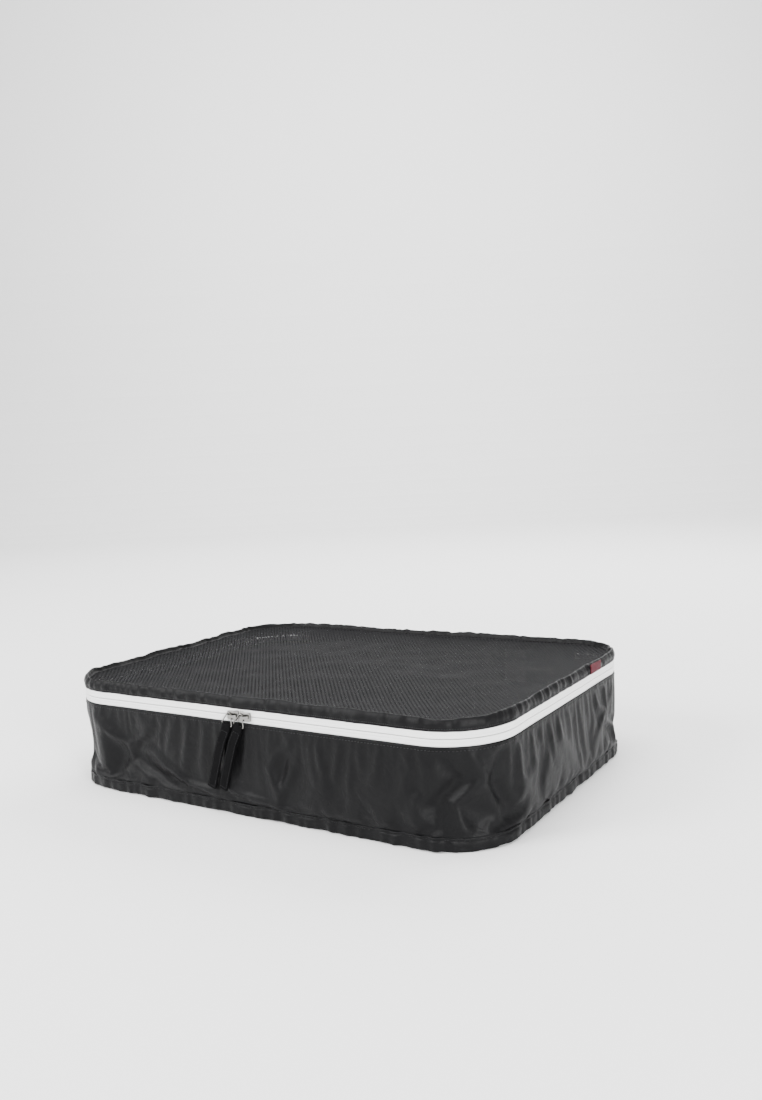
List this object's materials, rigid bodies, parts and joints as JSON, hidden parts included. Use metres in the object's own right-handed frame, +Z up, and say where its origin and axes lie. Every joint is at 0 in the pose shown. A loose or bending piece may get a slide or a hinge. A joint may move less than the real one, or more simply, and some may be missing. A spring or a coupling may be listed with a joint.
{
  "type": "packing cube",
  "caption": "Large black nylon packing cube with a mesh lid, a white zipper round three sides, two sliders with strap pulls and a grey end handle.",
  "frame": {"origin": "centre of the base's underside, on the surface that the cube lies on", "axes": "+X to the right along the long front, seen from the front; +Y to the back, where the lid hinges; +Z up"},
  "size_m": [0.4932, 0.3314, 0.1012],
  "materials": {
    "nylon": "satin",
    "mesh": "open mesh, satin",
    "binding": "woven tape, matte",
    "zip_tape": "woven tape, matte",
    "zip_coil": "satin nylon",
    "thread": "twisted thread",
    "webbing": "ribbed webbing, matte",
    "pull_tape": "grosgrain, matte",
    "nickel": "nickel plated",
    "tab": "woven tab, matte",
    "label": "satin ribbon"
  },
  "bodies": {
    "shell": {"base_panel": "nylon", "base_hem": "nylon", "gusset_wall": "nylon", "back_panel": "nylon", "base_seam_binding": "binding", "rear_seam_bindings": "binding", "care_label": "label", "zipper_tape_lower": "zip_tape", "zipper_coil_lower": "zip_coil", "zipper_end_tabs": "nylon", "hem_topstitch": "thread", "gusset_topstitch": "thread"},
    "lid": {"lid_border": "nylon", "lid_back_strip": "nylon", "lid_mesh": "mesh", "lid_mesh_binding": "binding", "seam_tab": "tab", "zipper_tape_upper": "zip_tape", "zipper_coil_upper": "zip_coil", "lid_topstitch": "thread"},
    "handle": {"handle_webbing": "webbing"},
    "slider_left": {"slider_left": "nickel"},
    "slider_right": {"slider_right": "nickel"},
    "pull_ring_left": {"pull_ring_left": "nickel"},
    "pull_ring_right": {"pull_ring_right": "nickel"},
    "pull_strap_left": {"pull_strap_left": "pull_tape"},
    "pull_strap_right": {"pull_strap_right": "pull_tape"}
  },
  "joints": [
    {"name": "lid_hinge", "type": "hinge", "parent": "shell", "child": "lid", "pos_m": [0, 0.1604, 0.085], "axis": [-1, 0, 0], "range_deg": [0, 150]},
    {"name": "handle_flip", "type": "hinge", "parent": "shell", "child": "handle", "pos_m": [-0.2214, 0, 0.0778], "axis": [0, 1, 0], "range_deg": [0, 100]},
    {"name": "slider_left_slide", "type": "slide", "parent": "shell", "child": "slider_left", "axis": [-1, 0, 0], "range_m": [0, 0.15]},
    {"name": "slider_right_slide", "type": "slide", "parent": "shell", "child": "slider_right", "axis": [1, 0, 0], "range_m": [0, 0.15]},
    {"name": "pull_left_swing", "type": "hinge", "parent": "slider_left", "child": "pull_ring_left", "pos_m": [-0.01185, -0.1629, 0.085], "axis": [0, 1, 0], "range_deg": [0, 30]},
    {"name": "pull_right_swing", "type": "hinge", "parent": "slider_right", "child": "pull_ring_right", "pos_m": [0.00055, -0.1629, 0.085], "axis": [0, -1, 0], "range_deg": [0, 30]},
    {"name": "pull_left_lift", "type": "hinge", "parent": "pull_ring_left", "child": "pull_strap_left", "pos_m": [-0.01448, -0.1629, 0.07713], "axis": [-0.9483, 0, 0.3173], "range_deg": [0, 90]},
    {"name": "pull_right_lift", "type": "hinge", "parent": "pull_ring_right", "child": "pull_strap_right", "pos_m": [-0.00208, -0.1629, 0.07713], "axis": [-0.9483, 0, 0.3173], "range_deg": [0, 90]}
  ]
}
